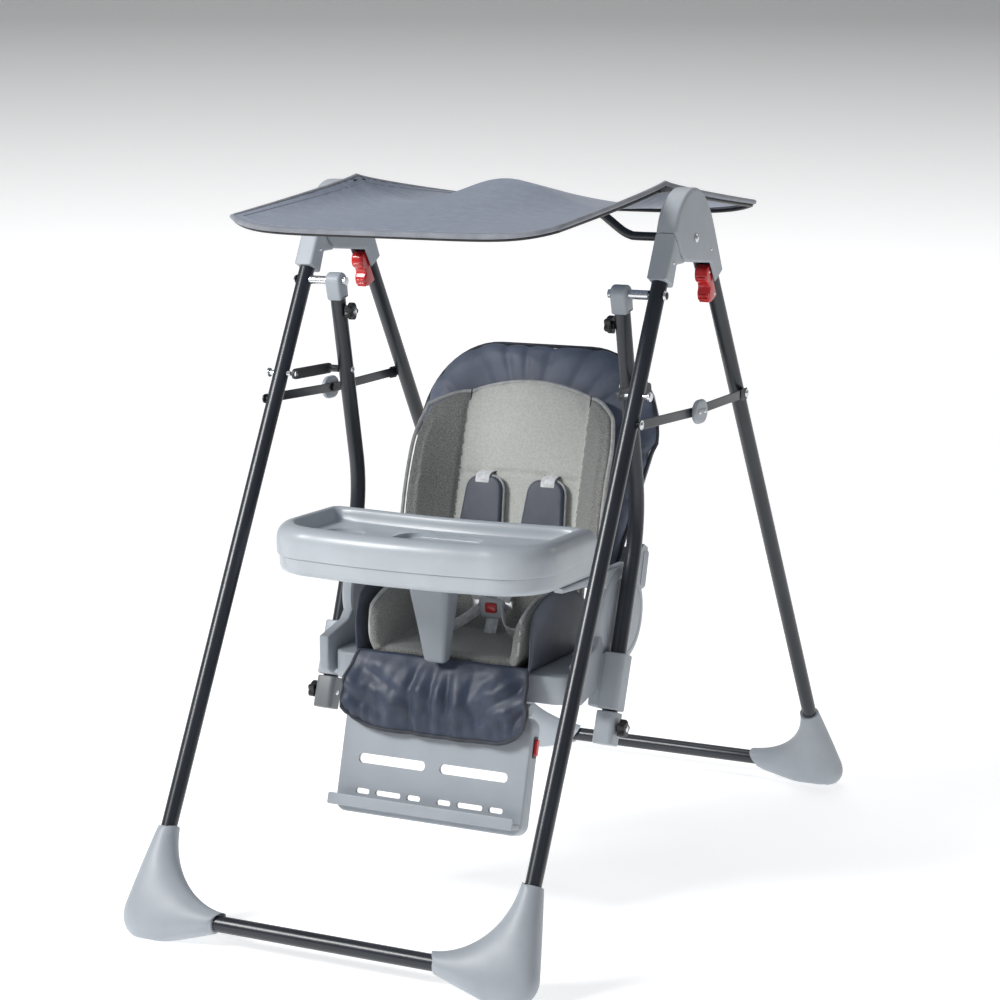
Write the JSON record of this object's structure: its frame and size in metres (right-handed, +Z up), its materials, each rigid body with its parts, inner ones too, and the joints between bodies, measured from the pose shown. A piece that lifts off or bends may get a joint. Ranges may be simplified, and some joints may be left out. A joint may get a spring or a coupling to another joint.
{
  "type": "baby swing",
  "caption": "Folding tubular A-frame with a canopy on top and a hanging padded seat with a reclining back, tray, harness and legrest.",
  "frame": {"origin": "on the floor, under the middle of the box round the whole object", "axes": "+Z up, +X to the right as seen from the front, -Y to the front, which the child faces"},
  "size_m": [0.7108, 1.3108, 1.1286],
  "materials": {
    "light_grey_plastic": "fine matt grain",
    "dark_grey_plastic": "matt",
    "black_plastic": "matt",
    "red_plastic": "glossy",
    "navy_tube": "glossy powder coat",
    "chrome_steel": "plated",
    "slate_fabric": "coated woven nylon",
    "grey_fabric": "melange knit"
  },
  "bodies": {
    "front_frame": {"front_leg_left": "navy_tube", "front_leg_right": "navy_tube", "front_socket_left": "light_grey_plastic", "front_socket_right": "light_grey_plastic", "head_cap_left": "light_grey_plastic", "head_cap_right": "light_grey_plastic", "front_foot_left": "light_grey_plastic", "front_foot_right": "light_grey_plastic", "fold_pin_left": "chrome_steel", "fold_pin_right": "chrome_steel", "swing_axle_left": "chrome_steel", "swing_axle_right": "chrome_steel", "front_crossbar": "navy_tube"},
    "rear_frame": {"rear_leg_left": "navy_tube", "rear_leg_right": "navy_tube", "rear_foot_left": "light_grey_plastic", "rear_foot_right": "light_grey_plastic", "rear_crossbar": "navy_tube"},
    "canopy": {"canopy_fabric": "slate_fabric", "canopy_tube": "navy_tube", "canopy_wire": "black_plastic"},
    "hanger": {"hanger_elbow_left": "light_grey_plastic", "hanger_elbow_right": "light_grey_plastic", "swing_arm_left": "navy_tube", "swing_arm_right": "navy_tube", "side_panel_left": "light_grey_plastic", "side_panel_right": "light_grey_plastic", "arm_clamp_left": "dark_grey_plastic", "arm_clamp_right": "dark_grey_plastic", "seat_pan": "light_grey_plastic", "seat_liner": "grey_fabric", "harness_buckle": "chrome_steel"},
    "backrest": {"backrest_shell": "light_grey_plastic", "back_cover": "slate_fabric", "back_liner": "grey_fabric", "shoulder_strap_left": "slate_fabric", "shoulder_strap_right": "slate_fabric"},
    "recline_handle": {"recline_handle": "dark_grey_plastic"},
    "legrest": {"legrest_panel": "light_grey_plastic", "front_flap": "slate_fabric"},
    "tray": {"tray_base": "light_grey_plastic", "tray_top": "light_grey_plastic", "crotch_post": "light_grey_plastic"},
    "buckle_button": {"buckle_button": "red_plastic"},
    "release_lever_left": {"release_lever_left": "red_plastic"},
    "front_stay_left": {"front_stay_left": "navy_tube"},
    "rear_stay_left": {"rear_stay_left": "navy_tube"},
    "upper_knob_left": {"upper_knob_left": "black_plastic"},
    "lower_knob_left": {"lower_knob_left": "black_plastic"},
    "swing_lock_bar_left": {"swing_lock_bar_left": "dark_grey_plastic"},
    "swing_lock_pin_left": {"swing_lock_pin_left": "chrome_steel"},
    "legrest_button_left": {"legrest_button_left": "black_plastic"},
    "release_lever_right": {"release_lever_right": "red_plastic"},
    "front_stay_right": {"front_stay_right": "navy_tube"},
    "rear_stay_right": {"rear_stay_right": "navy_tube"},
    "upper_knob_right": {"upper_knob_right": "black_plastic"},
    "lower_knob_right": {"lower_knob_right": "black_plastic"},
    "swing_lock_bar_right": {"swing_lock_bar_right": "dark_grey_plastic"},
    "swing_lock_pin_right": {"swing_lock_pin_right": "chrome_steel"},
    "legrest_button_right": {"legrest_button_right": "red_plastic"}
  },
  "joints": [
    {"name": "fold", "type": "hinge", "parent": "front_frame", "child": "rear_frame", "pos_m": [0, -0.0391, 1.043], "axis": [1, 0, 0], "range_deg": [-45, 0]},
    {"name": "canopy_tilt", "type": "hinge", "parent": "front_frame", "child": "canopy", "pos_m": [0, -0.0391, 1.043], "axis": [1, 0, 0], "range_deg": [-15, 15]},
    {"name": "swing", "type": "hinge", "parent": "front_frame", "child": "hanger", "pos_m": [0, -0.1471, 0.962], "axis": [1, 0, 0], "range_deg": [-20, 20]},
    {"name": "recline", "type": "hinge", "parent": "hanger", "child": "backrest", "pos_m": [0, -0.0911, 0.449], "axis": [1, 0, 0], "range_deg": [-40, 0]},
    {"name": "legrest_tilt", "type": "hinge", "parent": "hanger", "child": "legrest", "pos_m": [0, -0.2446, 0.318], "axis": [1, 0, 0], "range_deg": [-65, 0]},
    {"name": "tray_slide", "type": "slide", "parent": "hanger", "child": "tray", "axis": [0, -1, 0], "range_m": [0, 0.1]},
    {"name": "recline_release", "type": "slide", "parent": "backrest", "child": "recline_handle", "axis": [0, 0.2588, 0.9659], "range_m": [0, 0.01], "stiffness_N_per_m": 600, "springref_m": -0.003},
    {"name": "buckle_press", "type": "slide", "parent": "hanger", "child": "buckle_button", "axis": [0, 1, 0], "range_m": [0, 0.003], "stiffness_N_per_m": 300, "springref_m": -0.001},
    {"name": "release_left", "type": "slide", "parent": "rear_frame", "child": "release_lever_left", "axis": [0, 0.5103, -0.86], "range_m": [0, 0.008], "stiffness_N_per_m": 500, "springref_m": -0.003},
    {"name": "front_stay_turn_left", "type": "hinge", "parent": "front_frame", "child": "front_stay_left", "pos_m": [-0.313, -0.24157, 0.777], "axis": [1, 0, 0], "range_deg": [-88.71, 0]},
    {"name": "rear_stay_turn_left", "type": "hinge", "parent": "rear_frame", "child": "rear_stay_left", "pos_m": [-0.313, 0.18121, 0.777], "axis": [1, 0, 0], "range_deg": [0, 84.45]},
    {"name": "upper_knob_turn_left", "type": "hinge", "parent": "hanger", "child": "upper_knob_left", "pos_m": [-0.24, -0.13712, 0.91301], "axis": [1, 0, 0], "continuous": true},
    {"name": "lower_knob_turn_left", "type": "hinge", "parent": "hanger", "child": "lower_knob_left", "pos_m": [-0.275, -0.18518, 0.2905], "axis": [1, 0, 0], "continuous": true},
    {"name": "lock_bar_turn_left", "type": "hinge", "parent": "hanger", "child": "swing_lock_bar_left", "pos_m": [-0.2865, -0.1176, 0.816], "axis": [1, 0, 0], "range_deg": [-75, 0]},
    {"name": "lock_pin_left", "type": "slide", "parent": "front_frame", "child": "swing_lock_pin_left", "axis": [1, 0, 0], "range_m": [0, 0.006]},
    {"name": "legrest_button_press_left", "type": "slide", "parent": "legrest", "child": "legrest_button_left", "axis": [1, 0, 0], "range_m": [0, 0.004], "stiffness_N_per_m": 300, "springref_m": -0.001},
    {"name": "release_right", "type": "slide", "parent": "rear_frame", "child": "release_lever_right", "axis": [0, 0.5103, -0.86], "range_m": [0, 0.008], "stiffness_N_per_m": 500, "springref_m": -0.003},
    {"name": "front_stay_turn_right", "type": "hinge", "parent": "front_frame", "child": "front_stay_right", "pos_m": [0.313, -0.24157, 0.777], "axis": [1, 0, 0], "range_deg": [-88.71, 0]},
    {"name": "rear_stay_turn_right", "type": "hinge", "parent": "rear_frame", "child": "rear_stay_right", "pos_m": [0.313, 0.18121, 0.777], "axis": [1, 0, 0], "range_deg": [0, 84.45]},
    {"name": "upper_knob_turn_right", "type": "hinge", "parent": "hanger", "child": "upper_knob_right", "pos_m": [0.24, -0.13712, 0.91301], "axis": [1, 0, 0], "continuous": true},
    {"name": "lower_knob_turn_right", "type": "hinge", "parent": "hanger", "child": "lower_knob_right", "pos_m": [0.275, -0.18518, 0.2905], "axis": [1, 0, 0], "continuous": true},
    {"name": "lock_bar_turn_right", "type": "hinge", "parent": "hanger", "child": "swing_lock_bar_right", "pos_m": [0.2865, -0.1176, 0.816], "axis": [1, 0, 0], "range_deg": [-75, 0]},
    {"name": "lock_pin_right", "type": "slide", "parent": "front_frame", "child": "swing_lock_pin_right", "axis": [-1, 0, 0], "range_m": [0, 0.006]},
    {"name": "legrest_button_press_right", "type": "slide", "parent": "legrest", "child": "legrest_button_right", "axis": [-1, 0, 0], "range_m": [0, 0.004], "stiffness_N_per_m": 300, "springref_m": -0.001}
  ],
  "couplings": [
    {"joint": "front_stay_turn_left", "follows": "fold", "ratio": 1.9327},
    {"joint": "rear_stay_turn_left", "follows": "fold", "ratio": -1.8398},
    {"joint": "front_stay_turn_right", "follows": "fold", "ratio": 1.9327},
    {"joint": "rear_stay_turn_right", "follows": "fold", "ratio": -1.8398}
  ]
}
